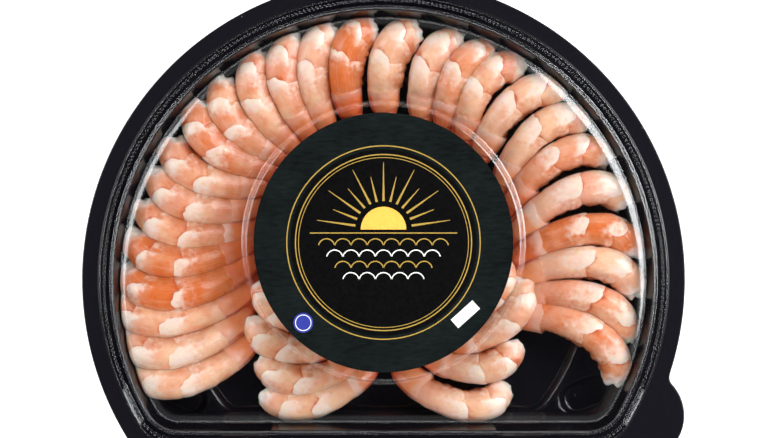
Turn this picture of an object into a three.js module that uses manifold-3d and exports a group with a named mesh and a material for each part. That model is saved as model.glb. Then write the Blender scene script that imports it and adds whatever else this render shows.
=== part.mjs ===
// A shut party ring of cooked, peeled, tail-on shrimp with its cup of cocktail sauce.
// D-shaped black tray, clear press-on lid with a raised round centre, printed label,
// sauce cup, sauce and thirty-four shrimp. Millimetres, +Z up, the tray stands on z = 0
// and its straight side faces -Y.

import * as THREE from 'three';
import { mergeVertices } from 'three/addons/utils/BufferGeometryUtils.js';
import Module from 'manifold-3d';

const wasm = await Module();
wasm.setup();

// ---------------------------------------------------------------- driving dimensions

const rimReach = 140;          // radius of the tray's round rim
const rimFlat = 84.6;          // straight side of the rim, from the round's centre
const rimCorner = 18.5;        // corner radius of the rim
const rimHeight = 30;          // top of the flange
const wall = 0.8;              // thickness of the formed sheets
const gap = 0.3;               // clearance between neighbouring pieces

const mouthReach = 125;        // inside edge of the flange
const footReach = 121;         // tray wall just above the floor
const footHeight = 7;
const ledgeReach = 118.5;      // outer edge of the raised ledge round the floor
const ledgeHeight = 4;         // top of that ledge
const rampTop = 96;            // crisp inner edge of the ledge
const rampFoot = 86;           // where its slope meets the floor
const innerCorner = 14;        // corner radius of the tray's wall
const floorCorner = 9;         // corner radius of the sunken floor
const rampTopFlat = 61.5;      // straight side of the ramp's top, from the round's centre
const rampFootFlat = 59;       // and of its foot
const panelDepth = 2.5;        // the two shallow bays in the straight wall
const panelReach = 64;         // their centres, left and right of the middle
const panelWidth = 24;
const pocketX = 95;            // the two small pockets sunk into the ledge's corners
const pocketY = -54.5;         // from the round's centre
const pocketTurn = 0.35;       // radians, towards the corner
const pocketRadius = 6.6;      // of its round ends
const pocketLength = 10;       // between their centres
const tabRadius = 21.5;        // opening tab on the right-hand corner of the flange
const tabX = 118;

const lidReach = 132;          // outer edge of the lid
const lidHeight = 38;          // flat top of the lid
const shoulderReach = 118.6;   // outer edge of that top
const channelReach = 120.6;    // groove between the shoulder and the bead
const beadInner = 124;         // the bead that holds the lid on
const beadOuter = 128;
const beadRise = 4.5;
const slant = 0.6;             // a sloping wall's thickness, measured level
const shoulderCorner = 13;
const plateauRadius = 65;      // raised round centre of the lid
const plateauHeight = 42.5;
const ringOffset = 17.2;       // centre of the shrimp ring, behind the round's centre

const labelRadius = 60;
const labelThickness = 0.4;

const cupRadius = 42;          // sauce cup at the middle of its rolled lip
const cupLip = 1.5;            // half that lip's width
const cupFoot = 37;
const cupHeight = 24;
const sauceLevel = 19;

const shrimpDepth = 18;        // back to belly, at the thickest segment
const shrimpWidth = 15;        // side to side
const shrimpSides = 7;
const tailScale = 48;          // length that the stations past the tail joint are shares of
const leaveAngle = 36;         // degrees between the chord and the body at the tail joint
const arriveAngle = 78;        // and at the head end
const curlPull = 0.38;         // share of the chord over which each of those angles holds

// The round's centre, placed so that the whole outline is centred on the origin.
const centreY = (rimFlat - rimReach) / 2;
const ringY = centreY + ringOffset;

// ---------------------------------------------------------------- colours

const finishes = {
  tray: { color: 0x15151a, roughness: 0.3, metalness: 0 },
  lid: { color: 0xeef2f4, roughness: 0.08, metalness: 0, transparent: true, opacity: 0.3 },
  label: { color: 0x1d2527, roughness: 0.6, metalness: 0 },
  cup: { color: 0xf2f2ee, roughness: 0.3, metalness: 0 },
  sauce: { color: 0x9e1b12, roughness: 0.25, metalness: 0 },
  shrimp: { color: 0xeab594, roughness: 0.4, metalness: 0 },
};

// ---------------------------------------------------------------- solids

function signedVolume(positions, triangles) {
  let volume = 0;
  const a = new THREE.Vector3();
  const b = new THREE.Vector3();
  const c = new THREE.Vector3();
  for (let i = 0; i < triangles.length; i += 3) {
    a.fromArray(positions, triangles[i] * 3);
    b.fromArray(positions, triangles[i + 1] * 3);
    c.fromArray(positions, triangles[i + 2] * 3);
    volume += a.dot(b.cross(c)) / 6;
  }
  return volume;
}

// A closed body through equal loops of points, fanned shut at both ends.
function loft(loops) {
  const count = loops[0].length;
  const positions = loops.flat().flatMap((p) => [p.x, p.y, p.z]);
  const triangles = [];
  for (let i = 0; i < loops.length - 1; i++) {
    for (let j = 0; j < count; j++) {
      const k = (j + 1) % count;
      const near = i * count;
      const far = near + count;
      triangles.push(near + j, far + j, far + k, near + j, far + k, near + k);
    }
  }
  for (const last of [0, loops.length - 1]) {
    const middle = loops[last].reduce((sum, p) => sum.add(p), new THREE.Vector3());
    middle.divideScalar(count);
    const tip = positions.length / 3;
    const start = last * count;
    positions.push(middle.x, middle.y, middle.z);
    for (let j = 0; j < count; j++) {
      const k = (j + 1) % count;
      triangles.push(tip, start + (last ? k : j), start + (last ? j : k));
    }
  }
  if (signedVolume(positions, triangles) < 0) {
    for (let i = 0; i < triangles.length; i += 3) {
      [triangles[i], triangles[i + 1]] = [triangles[i + 1], triangles[i]];
    }
  }
  const geometry = new THREE.BufferGeometry();
  geometry.setAttribute('position', new THREE.Float32BufferAttribute(positions, 3));
  geometry.setIndex(triangles);
  return geometry;
}

function toSolid(geometry) {
  const bare = geometry.clone();
  bare.deleteAttribute('normal');
  bare.deleteAttribute('uv');
  const merged = mergeVertices(bare, 1e-5);
  return new wasm.Manifold(new wasm.Mesh({
    numProp: 3,
    vertProperties: new Float32Array(merged.attributes.position.array),
    triVerts: new Uint32Array(merged.index.array),
  }));
}

function toGeometry(solid) {
  const mesh = solid.getMesh();
  const geometry = new THREE.BufferGeometry();
  geometry.setAttribute('position', new THREE.BufferAttribute(mesh.vertProperties, 3));
  geometry.setIndex(new THREE.BufferAttribute(mesh.triVerts, 1));
  return geometry;
}

// The largest connected body of a solid, without the loose scraps that a cut can leave.
function mainBody(solid) {
  const bodies = solid.decompose();
  return bodies.reduce((best, body) => (body.volume() > best.volume() ? body : best));
}

// ---------------------------------------------------------------- D-shaped outlines

// A circle of radius reach about the round's centre, cut by a straight side at y = -flat,
// with rounded corners. bay sets the two panels of the straight side back by that much.
function dOutline(reach, flat, corner, bay = 0) {
  const arcSteps = 36;
  const cornerSteps = 4;
  const cornerY = corner - flat;
  const cornerX = Math.sqrt((reach - corner) ** 2 - cornerY ** 2);
  const start = Math.atan2(cornerY, cornerX);
  const points = [];
  for (let i = 0; i <= arcSteps; i++) {
    const a = start + (Math.PI - 2 * start) * (i / arcSteps);
    points.push([reach * Math.cos(a), reach * Math.sin(a)]);
  }
  const turn = Math.PI / 2 + start;
  for (let i = 1; i <= cornerSteps; i++) {
    const a = Math.PI - start + turn * (i / cornerSteps);
    points.push([-cornerX + corner * Math.cos(a), cornerY + corner * Math.sin(a)]);
  }
  const squeeze = Math.min(1, (cornerX - 1) / (panelReach + panelWidth / 2));
  const bayEdges = [[-1, 0], [-0.85, bay], [0.85, bay], [1, 0]];
  const bayPoints = (side) => bayEdges.map(
    ([edge, depth]) => [side * panelReach + edge * panelWidth / 2, depth],
  );
  const betweenBays = [-0.6, -0.2, 0.2, 0.6].map((share) => [share * (panelReach - panelWidth / 2), 0]);
  for (const [x, depth] of [...bayPoints(-1), ...betweenBays, ...bayPoints(1)]) {
    points.push([x * squeeze, -flat - depth]);
  }
  for (let i = 0; i < cornerSteps; i++) {
    const a = -Math.PI / 2 + turn * (i / cornerSteps);
    points.push([cornerX + corner * Math.cos(a), cornerY + corner * Math.sin(a)]);
  }
  return points;
}

// One loop of a formed sheet: the rim's outline moved in to a smaller reach, at height z.
function dLoop(reach, z, { flat = reach - rimReach + rimFlat, corner = rimCorner, bay = 0 } = {}) {
  return dOutline(reach, flat, corner, bay).map(([x, y]) => new THREE.Vector3(x, y + centreY, z));
}

// ---------------------------------------------------------------- tray

function makeTray() {
  const inner = { corner: innerCorner };
  const bays = { corner: innerCorner, bay: panelDepth };
  const floorEdge = { flat: rampTopFlat, corner: floorCorner };
  const floorFoot = { flat: rampFootFlat, corner: floorCorner };
  const sheet = toSolid(loft([
    dLoop(rampFoot, 0, floorFoot),
    dLoop(rampTop, ledgeHeight - wall, floorEdge),
    dLoop(ledgeReach, ledgeHeight - wall, inner),
    dLoop(footReach + wall, footHeight - wall, bays),
    dLoop(mouthReach + wall, rimHeight - wall, bays),
    dLoop(rimReach, rimHeight - wall),
    dLoop(rimReach, rimHeight),
    dLoop(mouthReach, rimHeight, bays),
    dLoop(footReach, footHeight, bays),
    dLoop(ledgeReach - wall, ledgeHeight, inner),
    dLoop(rampTop, ledgeHeight, floorEdge),
    dLoop(rampFoot, wall, floorFoot),
  ]));

  // The opening tab rounds out the right-hand corner of the flange, down to a small notch.
  const tabShape = new THREE.Shape();
  tabShape.moveTo(rimReach - 2 * tabRadius, 0);
  tabShape.lineTo(tabX, 0);
  tabShape.absarc(tabX, tabRadius, tabRadius, -Math.PI / 2, 0.55);
  tabShape.quadraticCurveTo(tabX + 15, tabRadius + 15.5, tabX + 14, tabRadius + 20);
  tabShape.lineTo(tabX + 8, tabRadius + 20);
  const tab = new THREE.ExtrudeGeometry(tabShape, { depth: wall, bevelEnabled: false, curveSegments: 9 });
  tab.translate(0, centreY - rimFlat, rimHeight - wall);
  const mouth = toSolid(loft([
    dLoop(mouthReach + wall + 2, rimHeight - 2, inner),
    dLoop(mouthReach + wall + 2, rimHeight + 1, inner),
  ]));
  let tray = sheet.add(toSolid(tab).subtract(mouth));

  for (const side of [-1, 1]) {
    const low = pocketLoop(side, pocketRadius, 0);
    const high = pocketLoop(side, pocketRadius + 2 * slant, ledgeHeight - wall / 2);
    const bottom = pocketLoop(side, pocketRadius - slant, wall);
    const top = pocketLoop(side, pocketRadius + slant, ledgeHeight + 0.5);
    tray = tray.add(toSolid(loft([low, high]))).subtract(toSolid(loft([bottom, top])));
  }
  return toGeometry(mainBody(tray));
}

// A slot with round ends, where a pocket is sunk into the ledge at one end of the straight side.
function pocketLoop(side, radius, z) {
  const steps = 16;
  const turned = new THREE.Matrix4().makeRotationZ(side * pocketTurn);
  turned.setPosition(side * pocketX, centreY + pocketY, 0);
  const points = [];
  for (let i = 0; i < steps; i++) {
    const a = (i + 0.5) / steps * 2 * Math.PI;
    const end = Math.sign(Math.cos(a)) * pocketLength / 2;
    const point = new THREE.Vector3(radius * Math.cos(a) + end, radius * Math.sin(a), z);
    points.push(point.applyMatrix4(turned));
  }
  return points;
}

// ---------------------------------------------------------------- lid

// A circle round the ring's centre whose points lie on the bearings of a D-shaped loop.
function plateauLoop(radius, z) {
  return dLoop(mouthReach, z).map((p) => {
    const a = Math.atan2(p.y - ringY, p.x);
    return new THREE.Vector3(radius * Math.cos(a), ringY + radius * Math.sin(a), z);
  });
}

// The lid's underside from the middle out, then its top side back in.
function makeLid() {
  const seat = rimHeight + gap;
  const bead = rimHeight + beadRise;
  const channel = seat + 1;
  const channelOut = channelReach + 2;
  const beadFoot = beadOuter + 1.6;
  const shoulder = { corner: shoulderCorner };
  return loft([
    plateauLoop(plateauRadius - 2.5, plateauHeight - wall),
    plateauLoop(plateauRadius - wall, lidHeight - wall),
    dLoop(shoulderReach - slant, lidHeight - wall, shoulder),
    dLoop(channelReach - slant, channel, shoulder),
    dLoop(channelOut + slant / 2, channel, shoulder),
    dLoop(beadInner + slant, bead - wall),
    dLoop(beadOuter - slant, bead - wall),
    dLoop(beadFoot - slant, seat),
    dLoop(lidReach, seat),
    dLoop(lidReach, seat + wall),
    dLoop(beadFoot, seat + wall),
    dLoop(beadOuter, bead),
    dLoop(beadInner, bead),
    dLoop(channelOut, channel + wall, shoulder),
    dLoop(channelReach, channel + wall, shoulder),
    dLoop(shoulderReach, lidHeight, shoulder),
    plateauLoop(plateauRadius, lidHeight),
    plateauLoop(plateauRadius - 2, plateauHeight),
  ]);
}

// ---------------------------------------------------------------- label, cup and sauce

function makeLabel() {
  const disc = new THREE.CylinderGeometry(labelRadius, labelRadius, labelThickness, 44);
  disc.rotateX(Math.PI / 2);
  disc.translate(0, ringY, plateauHeight + 0.1 + labelThickness / 2);
  return disc;
}

function turned(profile) {
  const shape = new THREE.LatheGeometry(profile.map(([r, z]) => new THREE.Vector2(r, z)), 24);
  shape.rotateX(Math.PI / 2);
  shape.translate(0, ringY, wall + gap);
  return shape;
}

function makeCup() {
  return turned([
    [0, 0],
    [cupFoot, 0],
    [cupRadius - cupLip, cupHeight - wall],
    [cupRadius + cupLip, cupHeight - wall],
    [cupRadius + cupLip, cupHeight],
    [cupRadius - cupLip - wall, cupHeight],
    [cupFoot - wall, wall],
    [0, wall],
  ]);
}

function makeSauce() {
  const slope = (cupRadius - cupLip - cupFoot) / cupHeight;
  const foot = cupFoot - wall - gap;
  return turned([
    [0, wall + gap],
    [foot, wall + gap],
    [foot + slope * sauceLevel, sauceLevel],
    [0, sauceLevel],
  ]);
}

// ---------------------------------------------------------------- shrimp

// Each row lays one shrimp, the lowest of its stack first: the bearing (degrees, counter-
// clockwise from +X) and reach of its tail joint from the ring's centre, the same for the
// middle of its cut head end, and how tightly it curls.
const ringRows = [
  [216, 76, 206, 127, 1.05], [207, 71, 199, 126, 1.05], [198, 65, 191, 125, 1],
  [187, 62, 186, 119, 1], [179, 62, 178, 116, 0.9], [173, 62, 170, 112, 0.85],
  [164, 62, 162, 109, 0.9], [154, 62, 154, 108, 0.9], [147, 62, 143, 106, 0.9],
  [140, 62, 134, 104, 0.85], [133, 61, 123, 102, 0.9], [124, 61, 113, 101, 0.9],
  [116, 61, 103, 100, 0.9], [104, 62, 93, 99, 0.9], [89, 62, 81, 98, 0.9],
  [73, 62, 69, 99, 0.85], [62, 62, 60, 100, 0.9], [52, 62, 52, 102, 0.9],
  [42, 62, 39, 106, 1], [26, 62, 30, 108, 0.9], [16, 62, 20, 110, 0.9],
  [3, 62, 9, 113, 0.95], [-8, 63, -3, 115, 1.05], [-17, 65, -12, 117, 1.1],
  [-24, 68, -22, 119, 1.1], [-30, 67, -31, 125, 0.9],
];
const leftRows = [
  [263, 59, 232, 87, 0.8], [256, 58, 225, 76, 0.9], [243, 54, 212, 68, 0.9],
  [228, 52, 200, 57, 0.7],
];
const rightRows = [
  [-82, 60, -51, 86, 1.1], [-68, 57, -39, 75, 1.05], [-56, 57, -17, 64, 1],
  [-41, 52, -12, 53, 0.7],
];

// Small seeded differences in size, tilt and height between one shrimp and the next.
function makeRandom(seed) {
  let state = seed;
  return () => {
    state = (state * 1664525 + 1013904223) % 4294967296;
    return state / 4294967296;
  };
}

function polar(degrees, reach) {
  const a = THREE.MathUtils.degToRad(degrees);
  return new THREE.Vector3(reach * Math.cos(a), ringY + reach * Math.sin(a), 0);
}

// The curled line through a shrimp's body, seen from above, from tail joint to head end.
function makeSpine([tailBearing, tailReach, headBearing, headReach, curl], side) {
  const tail = polar(tailBearing, tailReach);
  const head = polar(headBearing, headReach);
  const chord = head.clone().sub(tail);
  const along = Math.atan2(chord.y, chord.x);
  const pull = curlPull * chord.length();
  const leave = along + side * THREE.MathUtils.degToRad(leaveAngle) * curl;
  const arrive = along - side * THREE.MathUtils.degToRad(arriveAngle) * curl;
  const first = new THREE.Vector3(tail.x + pull * Math.cos(leave), tail.y + pull * Math.sin(leave), 0);
  const second = new THREE.Vector3(head.x - pull * Math.cos(arrive), head.y - pull * Math.sin(arrive), 0);
  return { curve: new THREE.CubicBezierCurve3(tail, first, second, head), tail, chord: chord.normalize() };
}

// Stations from the tail fan to the head end: place along the body (below 0 is the tail),
// share of the full depth and share of the full width.
const stations = [
  [-0.32, 0.2, 0.9], [-0.2, 0.28, 0.5], [-0.02, 0.62, 0.64], [0.12, 0.8, 0.82],
  [0.26, 0.82, 0.82], [0.4, 0.94, 0.94], [0.53, 0.93, 0.93], [0.66, 1, 1],
  [0.79, 0.95, 0.95], [0.91, 0.97, 0.95], [1, 0.7, 0.7],
];

function trayFloor(x, y) {
  const reach = Math.hypot(x, y - centreY);
  const rise = THREE.MathUtils.clamp((reach - rampFoot) / (rampTop - rampFoot), 0, 1);
  return wall + rise * (ledgeHeight - wall);
}

function trayWall(z) {
  const { lerp } = THREE.MathUtils;
  return z < footHeight
    ? lerp(ledgeReach, footReach, (z - ledgeHeight) / (footHeight - ledgeHeight))
    : lerp(footReach, mouthReach, (z - footHeight) / (rimHeight - footHeight));
}

// Flesh gives way to what it rests on: the floor, the tray's wall and the sauce cup.
function press(p) {
  const lowest = trayFloor(p.x, p.y) + 2 * gap;
  p.z = Math.max(p.z, lowest);
  const wallReach = trayWall(p.z) - 2 * gap;
  const fromCentre = new THREE.Vector2(p.x, p.y - centreY);
  if (fromCentre.length() > wallReach) {
    fromCentre.setLength(wallReach);
  }
  fromCentre.y = Math.max(fromCentre.y, rimReach - rimFlat - wallReach);
  p.x = fromCentre.x;
  p.y = fromCentre.y + centreY;
  const fromCup = new THREE.Vector2(p.x, p.y - ringY);
  const cupReach = cupRadius + cupLip + 3 * gap;
  if (fromCup.length() < cupReach) {
    fromCup.setLength(cupReach);
    p.x = fromCup.x;
    p.y = fromCup.y + ringY;
  }
  return p;
}

// One shrimp: oval sections swept along its curled line, the back tipped up by tilt.
function makeShrimp(row, side, shape, swell) {
  const { curve, tail, chord } = makeSpine(row, side);
  const across = new THREE.Vector3(-chord.y * side, chord.x * side, 0);
  const rise = Math.tan(shape.tilt);
  const out = curve.getTangent(0).negate();
  const placeAt = (t) => {
    const p = t < 0 ? tail.clone().addScaledVector(out, -t * tailScale) : curve.getPoint(t);
    const bulge = p.clone().sub(tail).dot(across);
    const height = THREE.MathUtils.lerp(shape.tailHeight, shape.headHeight, Math.max(t, 0));
    p.z = height + Math.max(bulge, 0) * rise;
    return p;
  };
  const loops = stations.map(([t, depth, width]) => {
    const middle = placeAt(t);
    const ahead = Math.min(t + 0.03, 1);
    const heading = placeAt(ahead).sub(placeAt(ahead - 0.06)).normalize();
    const flatBack = new THREE.Vector3(-heading.y * side, heading.x * side, 0).normalize();
    const back = flatBack.multiplyScalar(Math.cos(shape.tilt));
    back.z = Math.sin(shape.tilt);
    back.addScaledVector(heading, -back.dot(heading)).normalize();
    const flank = heading.clone().cross(back).normalize();
    const loop = [];
    for (let i = 0; i < shrimpSides; i++) {
      const a = (i / shrimpSides) * 2 * Math.PI;
      const up = Math.cos(a) * (depth * shape.size * shrimpDepth / 2 + swell);
      const over = Math.sin(a) * (width * shape.size * shrimpWidth / 2 + swell);
      loop.push(press(middle.clone().addScaledVector(back, up).addScaledVector(flank, over)));
    }
    return loop;
  });
  return loft(loops);
}

// How a shrimp lies: which way it curls, the tilt of its back and the heights of its ends.
const ringLay = { side: 1, tilt: 36, tailHeight: 7.5, headHeight: 10.5 };

function heapLay(side, layer) {
  return { side, tilt: 28, tailHeight: 6.5 + 1.5 * layer, headHeight: 7.5 + 1.8 * layer };
}

// Each shrimp is pressed in where the ones above it lie on it.
function makeShrimps() {
  const random = makeRandom(34);
  const rows = [
    ...ringRows.map((row) => [row, ringLay]),
    ...leftRows.map((row, layer) => [row, heapLay(1, layer)]),
    ...rightRows.map((row, layer) => [row, heapLay(-1, layer)]),
  ];
  const shrimps = rows.map(([row, lay]) => {
    const size = 0.96 + 0.08 * random();
    const tilt = THREE.MathUtils.degToRad(lay.tilt + 6 * (random() - 0.5));
    const shape = { ...lay, size, tilt };
    return {
      flesh: toSolid(makeShrimp(row, lay.side, shape, 0)),
      swollen: toSolid(makeShrimp(row, lay.side, shape, gap + 0.1)),
    };
  });
  return shrimps.map(({ flesh }, i) => {
    const box = flesh.boundingBox();
    const above = shrimps.slice(i + 1).filter(({ swollen }) => {
      const other = swollen.boundingBox();
      return [0, 1, 2].every((k) => box.min[k] < other.max[k] && other.min[k] < box.max[k]);
    });
    return mainBody(above.reduce((body, { swollen }) => body.subtract(swollen), flesh));
  });
}

// ---------------------------------------------------------------- assembly

function addPiece(group, name, geometry, finish) {
  const mesh = new THREE.Mesh(geometry, new THREE.MeshStandardMaterial(finish));
  mesh.name = name;
  group.add(mesh);
}

const pack = new THREE.Group();
pack.name = 'shrimp_ring_pack';
addPiece(pack, 'tray', makeTray(), finishes.tray);
addPiece(pack, 'lid', makeLid(), finishes.lid);
addPiece(pack, 'label', makeLabel(), finishes.label);
addPiece(pack, 'sauce_cup', makeCup(), finishes.cup);
addPiece(pack, 'cocktail_sauce', makeSauce(), finishes.sauce);
makeShrimps().forEach((solid, i) => {
  addPiece(pack, `shrimp_${String(i + 1).padStart(2, '0')}`, toGeometry(solid), finishes.shrimp);
});

export default pack;
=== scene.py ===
import bpy
import bmesh
import random
from functools import partial
from math import acos, atan2, cos, degrees, exp, hypot, pi, radians, sin, sqrt, tan
from mathutils import Matrix, Quaternion, Vector, noise


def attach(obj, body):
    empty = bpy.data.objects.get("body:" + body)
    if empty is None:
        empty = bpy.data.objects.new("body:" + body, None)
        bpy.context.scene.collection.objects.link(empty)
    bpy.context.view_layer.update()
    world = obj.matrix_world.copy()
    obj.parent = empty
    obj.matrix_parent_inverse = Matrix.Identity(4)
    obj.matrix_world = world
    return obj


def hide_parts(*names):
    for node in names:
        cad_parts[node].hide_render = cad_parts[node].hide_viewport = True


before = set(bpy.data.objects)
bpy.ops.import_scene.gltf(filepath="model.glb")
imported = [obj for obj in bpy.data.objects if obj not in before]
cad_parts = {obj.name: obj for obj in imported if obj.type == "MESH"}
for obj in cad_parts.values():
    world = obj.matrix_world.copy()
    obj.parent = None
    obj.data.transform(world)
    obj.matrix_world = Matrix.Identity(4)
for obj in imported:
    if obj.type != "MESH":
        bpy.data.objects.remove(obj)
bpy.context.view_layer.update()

# Everything is modelled in millimetres and brought to metres when a piece is finished.
mm = 0.001
body = "root"


def hexColour(code):
    shares = [int(code[i:i + 2], 16) / 255 for i in (1, 3, 5)]
    return [c / 12.92 if c <= 0.04045 else ((c + 0.055) / 1.055) ** 2.4 for c in shares] + [1.0]


def addNode(material, kind, settings=None, links=None):
    # kind is the node's type without its ShaderNode; a link's source is a socket, or a node for its
    # first output in use
    node = material.node_tree.nodes.new("ShaderNode" + kind)
    for key, value in (settings or {}).items():
        if isinstance(key, str) and hasattr(node, key):
            setattr(node, key, value)
        else:
            node.inputs[key].default_value = value
    for key, source in (links or {}).items():
        if isinstance(source, bpy.types.Node):
            source = next(socket for socket in source.outputs if socket.enabled)
        material.node_tree.links.new(source, node.inputs[key])
    return node


def newMaterial(name):
    material = bpy.data.materials.new(name)
    material.use_nodes = True
    material.node_tree.nodes.clear()
    add = partial(addNode, material)
    return material, add, add("TexCoord").outputs["Object"]


def addToScene(name, data):
    item = bpy.data.objects.new(name, data)
    bpy.context.scene.collection.objects.link(item)
    return item


def finishPiece(bm, name, materials, nodes=(), smooth=True):
    bmesh.ops.scale(bm, vec=(mm, mm, mm), verts=bm.verts)
    mesh = bpy.data.meshes.new(name)
    if smooth:
        for face in bm.faces:
            face.smooth = True
    bm.to_mesh(mesh)
    bm.free()
    piece = addToScene(name, mesh)
    for material in materials:
        mesh.materials.append(material)
    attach(piece, body)
    if nodes:
        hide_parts(*nodes)
    return piece


def smoothStep(low, high, value):
    share = min(max((value - low) / (high - low), 0), 1)
    return share * share * (3 - 2 * share)


def lerp(a, b, share):
    return a + (b - a) * share


# ---- the D outline and the sheets formed on it

dShape = {
    "rimReach": 139.8,  # radius of the tray's round rim
    "rimFlat": 84.6,  # its straight side, from the round's centre
    "rimCorner": 18.5,
    "centreY": -27.7,  # the round's centre in the frame
    "ringY": -10.5,  # centre of the shrimp ring, the plateau and the label
    "bayReach": 64,  # the two bays of the straight wall, left and right
    "bayWidth": 24,
    "bayEase": 0.8,  # share of a bay's half width where its side starts
    "arcPoints": 364,
    "cornerPoints": 12,
    "straightPoints": 124,
}


def dOutline(reach, flat=None, corner=None, bay=0, fineness=1):
    flat = dShape["rimFlat"] + reach - dShape["rimReach"] if flat is None else flat
    corner = dShape["rimCorner"] if corner is None else corner
    arc, turn, straight = (dShape[k] * fineness for k in ("arcPoints", "cornerPoints", "straightPoints"))
    cornerY = corner - flat
    cornerX = sqrt((reach - corner) ** 2 - cornerY ** 2)
    start = atan2(cornerY, cornerX)
    sweep = pi / 2 + start
    points = []
    for i in range(arc + 1):
        a = start + (pi - 2 * start) * i / arc
        points.append((reach * cos(a), reach * sin(a)))
    for i in range(1, turn + 1):
        a = pi - start + sweep * i / turn
        points.append((-cornerX + corner * cos(a), cornerY + corner * sin(a)))
    for i in range(1, straight + 1):
        x = cornerX * (2 * i / straight - 1)
        fromBay = abs(abs(x) - dShape["bayReach"]) / (dShape["bayWidth"] / 2)
        points.append((x, -flat - bay * (1 - smoothStep(dShape["bayEase"], 1, fromBay))))
    for i in range(1, turn):
        a = -pi / 2 + sweep * i / turn
        points.append((cornerX + corner * cos(a), cornerY + corner * sin(a)))
    return points


def dLoop(reach, z, **shape):
    return [Vector((x, y + dShape["centreY"], z)) for x, y in dOutline(reach, **shape)]


def roundLoop(radius, z):
    # a circle whose points lie on the bearings of the tray's mouth, so that it joins the loops of the D
    loop = []
    for x, y in dOutline(tray["mouthReach"], corner=tray["innerCorner"]):
        a = atan2(y + dShape["centreY"] - dShape["ringY"], x)
        loop.append(Vector((radius * cos(a), dShape["ringY"] + radius * sin(a), z)))
    return loop


def loopsBetween(first, last, count):
    return [[a.lerp(b, (i + 1) / (count + 1)) for a, b in zip(first, last)] for i in range(count)]


def movedTowards(point, target, distance):
    # by less than half the way, so that two fillets on one edge never meet
    step = target - point
    return point + step * min(0.48, distance / max(step.length, 1e-6))


def filleted(folds, steps=5):
    # folds holds pairs of a loop and the length that its fillet takes off on each side
    loops = [folds[0][0]]
    for (before, _), (fold, cut), (after, _) in zip(folds, folds[1:], folds[2:]):
        if cut == 0:
            loops.append(fold)
            continue
        starts = [movedTowards(p, q, cut) for p, q in zip(fold, before)]
        ends = [movedTowards(p, q, cut) for p, q in zip(fold, after)]
        for i in range(steps + 1):
            t = i / steps
            loops.append([a.lerp(b, t).lerp(b.lerp(c, t), t) for a, b, c in zip(starts, fold, ends)])
    loops.append(folds[-1][0])
    return loops


def edgesOf(ring):
    return list({edge for vert in ring for edge in vert.link_edges})


def extrudeLoops(bm, loops):
    ring = bmesh.ops.create_circle(bm, segments=len(loops[0]), radius=1)["verts"]
    edges = edgesOf(ring)
    rings = [ring]
    for vert, point in zip(ring, loops[0]):
        vert.co = point
    for loop in loops[1:]:
        grown = bmesh.ops.extrude_edge_only(bm, edges=edges)["geom"]
        ring = [g for g in grown if isinstance(g, bmesh.types.BMVert)]
        edges = [g for g in grown if isinstance(g, bmesh.types.BMEdge)]
        for vert, point in zip(ring, loop):
            vert.co = point
        rings.append(ring)
    return rings


def capRing(bm, ring):
    inRing = set(ring)
    edges = [edge for edge in edgesOf(ring) if edge.is_boundary and set(edge.verts) <= inRing]
    bmesh.ops.contextual_create(bm, geom=edges)


def makeSheet(loops, name, material, node, thickness):
    # a formed sheet: the loops give its upper side, from the middle out, and its wall grows downwards
    bm = bmesh.new()
    rings = extrudeLoops(bm, loops)
    capRing(bm, rings[0])
    bmesh.ops.recalc_face_normals(bm, faces=bm.faces)
    piece = finishPiece(bm, name, [material], [node])
    if sum(face.normal.z * face.area for face in piece.data.polygons) < 0:
        piece.data.flip_normals()
    sheet = piece.modifiers.new("sheet", "SOLIDIFY")
    sheet.thickness = thickness * mm
    sheet.offset = -1
    sheet.use_even_offset = True


# ---- materials

noiseSpan = {1: 0.3, 2: 0.7}  # most of a noise texture's values lie between these
smoothRange = {"interpolation_type": "SMOOTHSTEP"}
rgba = {"data_type": "RGBA"}
multiply = {"operation": "MULTIPLY"}
multiplyAdd = {"operation": "MULTIPLY_ADD"}


def grained(sizeMm, detail):
    # settings of a noise texture whose features are about this size
    return {"Scale": 1 / (sizeMm * mm), "Detail": detail}


petBlack = {
    "colour": "#121116", "dust": "#8C8F96", "roughness": 0.17, "ior": 1.5,
    "waveMm": 26, "dustMm": 5, "grainMm": 1.2,
    "dustFree": 0.86,  # share of the dust's cells that hold none
}


def makeBlackPet():
    # thermoformed black PET sheet: glossy, with the soft waves that forming leaves and a little dust
    material, add, place = newMaterial("blackFormedPet")
    wave = add("TexNoise", grained(petBlack["waveMm"], 1.0), {"Vector": place})
    grain = add("TexNoise", grained(petBlack["grainMm"], 2.0), {"Vector": place})
    cells = add("TexVoronoi", {"Scale": 1 / (petBlack["dustMm"] * mm)}, {"Vector": place})
    near = add("MapRange", {1: 0.05, 2: 0.02}, {0: cells})
    chosen = add("SeparateColor", None, {0: cells.outputs["Color"]})
    rare = add("Math", {"operation": "GREATER_THAN", 1: petBlack["dustFree"]}, {0: chosen})
    dust = add("Math", multiply, {0: near, 1: rare})
    colour = add("Mix", {**rgba, 6: hexColour(petBlack["colour"]), 7: hexColour(petBlack["dust"])},
                 {0: dust})
    rough = add("MapRange",
                {**noiseSpan, 3: petBlack["roughness"] - 0.03, 4: petBlack["roughness"] + 0.06},
                {0: grain})
    bump = add("Bump", {"Strength": 0.25, "Distance": 0.4 * mm}, {"Height": wave})
    shader = add("BsdfPrincipled", {"IOR": petBlack["ior"]},
                 {"Base Color": colour, "Roughness": rough, "Normal": bump})
    add("OutputMaterial", None, {"Surface": shader})
    return material


petClear = {"clear": "#F9FAFB", "gleam": "#FFFFFF", "roughness": 0.16, "headOn": 0.05, "waveMm": 30}


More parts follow.
